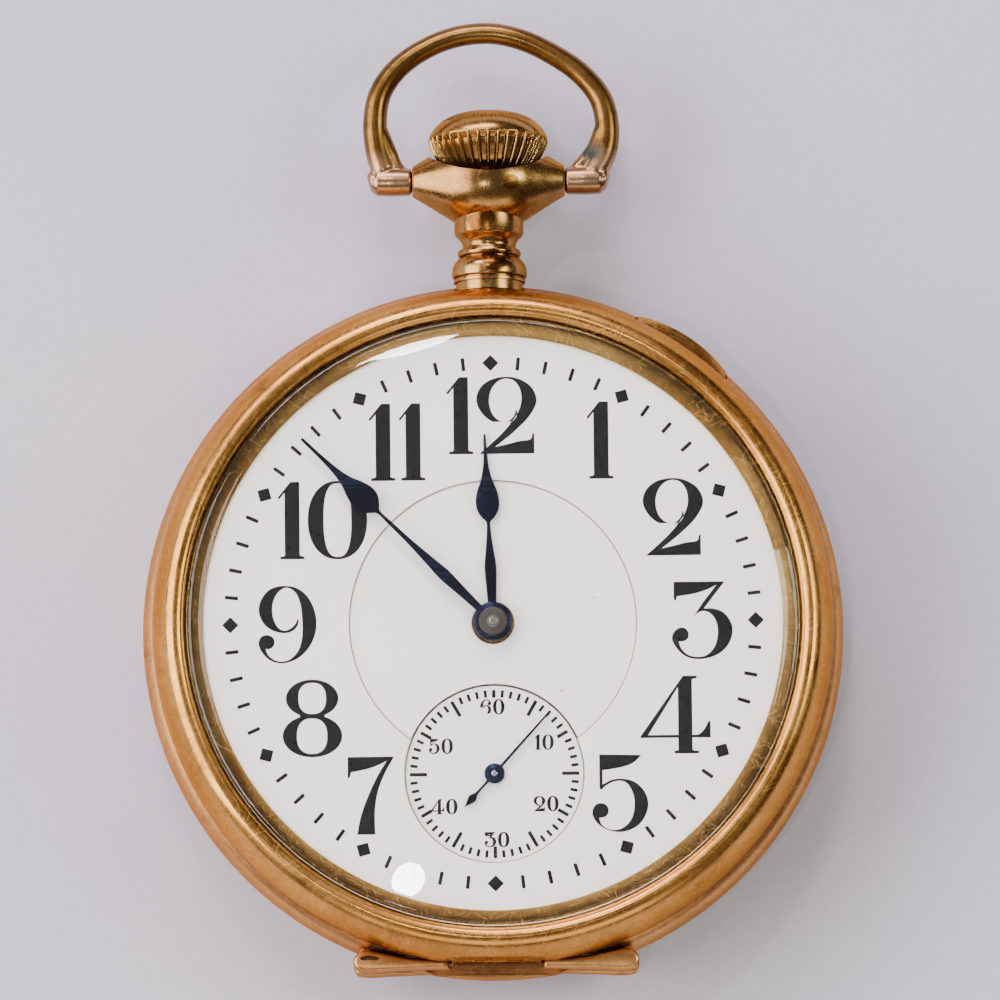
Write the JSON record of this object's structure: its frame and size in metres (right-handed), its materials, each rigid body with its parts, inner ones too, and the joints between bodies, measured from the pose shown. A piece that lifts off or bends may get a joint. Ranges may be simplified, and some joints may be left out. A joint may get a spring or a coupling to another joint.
{
  "type": "open face pocket watch",
  "caption": "Open face pocket watch with a swinging bow, fluted crown, hinged bezel and back, enamel dial, blued hands and a geared lever movement.",
  "frame": {"origin": "centre of the flat of the back cover, which the watch rests on", "axes": "+Z out of the dial, +Y towards 12 o'clock and the pendant, +X towards 3 o'clock"},
  "size_m": [0.051, 0.0704, 0.0132],
  "materials": {
    "gold_fill": "worn satin gold fill with fine scratches and brown tarnish",
    "enamel": "fired white enamel, glossy",
    "blued_steel": "heat blued and polished",
    "nickel": "nickel with a striped damaskeened grain",
    "gilt_brass": "gilt and polished",
    "steel": "polished steel",
    "ruby": "polished synthetic ruby",
    "crystal": "clear domed mineral glass"
  },
  "bodies": {
    "case": {"back_hinge_pin": "steel", "balance_cock": "nickel", "balance_cock_screw": "steel", "balance_jewel": "ruby", "barrel_bridge": "nickel", "barrel_bridge_screw_left": "steel", "barrel_bridge_screw_right": "steel", "bezel_hinge_pin": "steel", "case_centre": "gold_fill", "case_screw_left": "steel", "case_screw_right": "steel", "click_screw": "steel", "click_spring": "steel", "crown_wheel_screw": "steel", "dial_centre": "enamel", "dial_chapter_ring": "enamel", "dial_seconds": "enamel", "escape_jewel": "ruby", "fourth_jewel": "ruby", "pallet_bridge": "nickel", "pallet_bridge_screw": "steel", "pendant": "gold_fill", "pendant_sleeve": "steel", "pillar_plate": "nickel", "third_jewel": "ruby", "train_bridge": "nickel", "train_bridge_screw_left": "steel", "train_bridge_screw_low": "steel"},
    "bezel_body": {"bezel": "gold_fill", "crystal": "crystal"},
    "back_body": {"back_cover": "gold_fill"},
    "bow_body": {"bow": "gold_fill"},
    "winding_body": {"winding_pinion": "steel"},
    "stem_body": {"winding_stem": "steel", "crown": "gold_fill"},
    "clutch_body": {"clutch_wheel": "steel"},
    "crown_wheel_body": {"crown_wheel": "steel"},
    "ratchet_body": {"ratchet_wheel": "steel", "ratchet_screw": "steel", "barrel_arbor": "steel"},
    "click_body": {"click": "steel"},
    "barrel_body": {"mainspring_barrel": "gilt_brass", "barrel_cover": "gilt_brass", "mainspring": "steel"},
    "centre_body": {"centre_wheel": "gilt_brass", "cannon_pinion": "steel", "minute_hand": "blued_steel"},
    "minute_wheel_body": {"minute_wheel": "gilt_brass"},
    "hour_body": {"hour_wheel": "gilt_brass", "hour_hand": "blued_steel"},
    "setting_body": {"setting_wheel": "steel"},
    "third_body": {"third_wheel": "gilt_brass"},
    "fourth_body": {"fourth_wheel": "gilt_brass", "second_hand": "blued_steel"},
    "escape_body": {"escape_wheel": "steel"},
    "pallet_body": {"pallet_fork": "steel"},
    "balance_body": {"balance_wheel": "gilt_brass", "hairspring": "steel"},
    "regulator_body": {"regulator": "steel"}
  },
  "joints": [
    {"name": "bezel_open", "type": "hinge", "parent": "case", "child": "bezel_body", "pos_m": [0, -0.0245, 0.007], "axis": [1, 0, 0], "range_deg": [0, 90]},
    {"name": "back_open", "type": "hinge", "parent": "case", "child": "back_body", "pos_m": [0, -0.0245, 0.0034], "axis": [1, 0, 0], "range_deg": [-90, 0]},
    {"name": "bow_swing", "type": "hinge", "parent": "case", "child": "bow_body", "pos_m": [0, 0.03315, 0.006], "axis": [1, 0, 0], "range_deg": [-130, 130]},
    {"name": "crown_turn", "type": "hinge", "parent": "case", "child": "winding_body", "pos_m": [0, 0.0163, 0.006], "axis": [0, 1, 0], "continuous": true},
    {"name": "crown_pull", "type": "slide", "parent": "winding_body", "child": "stem_body", "axis": [0, 1, 0], "range_m": [0, 0.0009]},
    {"name": "clutch_slide", "type": "slide", "parent": "winding_body", "child": "clutch_body", "axis": [0, 1, 0], "range_m": [-0.0007, 0]},
    {"name": "crown_wheel_turn", "type": "hinge", "parent": "case", "child": "crown_wheel_body", "pos_m": [0, 0.0136, 0.00275], "axis": [0, 0, 1], "continuous": true},
    {"name": "ratchet_turn", "type": "hinge", "parent": "case", "child": "ratchet_body", "pos_m": [0.0082, 0.007, 0.00275], "axis": [0, 0, 1], "continuous": true},
    {"name": "click_lift", "type": "hinge", "parent": "case", "child": "click_body", "pos_m": [0.00131, 0.00379, 0.00278], "axis": [0, 0, 1], "range_deg": [0, 12]},
    {"name": "barrel_turn", "type": "hinge", "parent": "case", "child": "barrel_body", "pos_m": [0.0082, 0.007, 0.0046], "axis": [0, 0, 1], "continuous": true},
    {"name": "centre_turn", "type": "hinge", "parent": "case", "child": "centre_body", "pos_m": [0, 0, 0.0064], "axis": [0, 0, 1], "continuous": true},
    {"name": "minute_wheel_turn", "type": "hinge", "parent": "case", "child": "minute_wheel_body", "pos_m": [0, 0.00384, 0.00842], "axis": [0, 0, 1], "continuous": true},
    {"name": "hour_turn", "type": "hinge", "parent": "case", "child": "hour_body", "pos_m": [0, 0, 0.00882], "axis": [0, 0, 1], "continuous": true},
    {"name": "setting_turn", "type": "hinge", "parent": "case", "child": "setting_body", "pos_m": [0, 0.0096, 0.00842], "axis": [0, 0, 1], "continuous": true},
    {"name": "third_turn", "type": "hinge", "parent": "case", "child": "third_body", "pos_m": [-0.00432, -0.00631, 0.00475], "axis": [0, 0, 1], "continuous": true},
    {"name": "fourth_turn", "type": "hinge", "parent": "case", "child": "fourth_body", "pos_m": [0, -0.011, 0.00598], "axis": [0, 0, 1], "continuous": true},
    {"name": "escape_turn", "type": "hinge", "parent": "case", "child": "escape_body", "pos_m": [0.00518, -0.01342, 0.00522], "axis": [0, 0, 1], "continuous": true},
    {"name": "pallet_rock", "type": "hinge", "parent": "case", "child": "pallet_body", "pos_m": [0.0074, -0.0103, 0.0052], "axis": [0, 0, 1], "range_deg": [-5, 5]},
    {"name": "balance_swing", "type": "hinge", "parent": "case", "child": "balance_body", "pos_m": [0.0105, -0.0075, 0.0038], "axis": [0, 0, 1], "range_deg": [-270, 270]},
    {"name": "regulator_set", "type": "hinge", "parent": "case", "child": "regulator_body", "pos_m": [0.0105, -0.0075, 0.00272], "axis": [0, 0, 1], "range_deg": [-15, 15]}
  ],
  "couplings": [
    {"joint": "centre_turn", "follows": "fourth_turn", "ratio": 0.016667},
    {"joint": "third_turn", "follows": "fourth_turn", "ratio": -0.13333},
    {"joint": "barrel_turn", "follows": "fourth_turn", "ratio": -0.0025641},
    {"joint": "escape_turn", "follows": "fourth_turn", "ratio": -10},
    {"joint": "minute_wheel_turn", "follows": "fourth_turn", "ratio": -0.0055556},
    {"joint": "hour_turn", "follows": "fourth_turn", "ratio": 0.0013889},
    {"joint": "setting_turn", "follows": "fourth_turn", "ratio": 0.0055556},
    {"joint": "crown_wheel_turn", "follows": "crown_turn", "ratio": 0.53333},
    {"joint": "ratchet_turn", "follows": "crown_turn", "ratio": -0.4},
    {"joint": "clutch_slide", "follows": "crown_pull", "ratio": -0.77778}
  ]
}
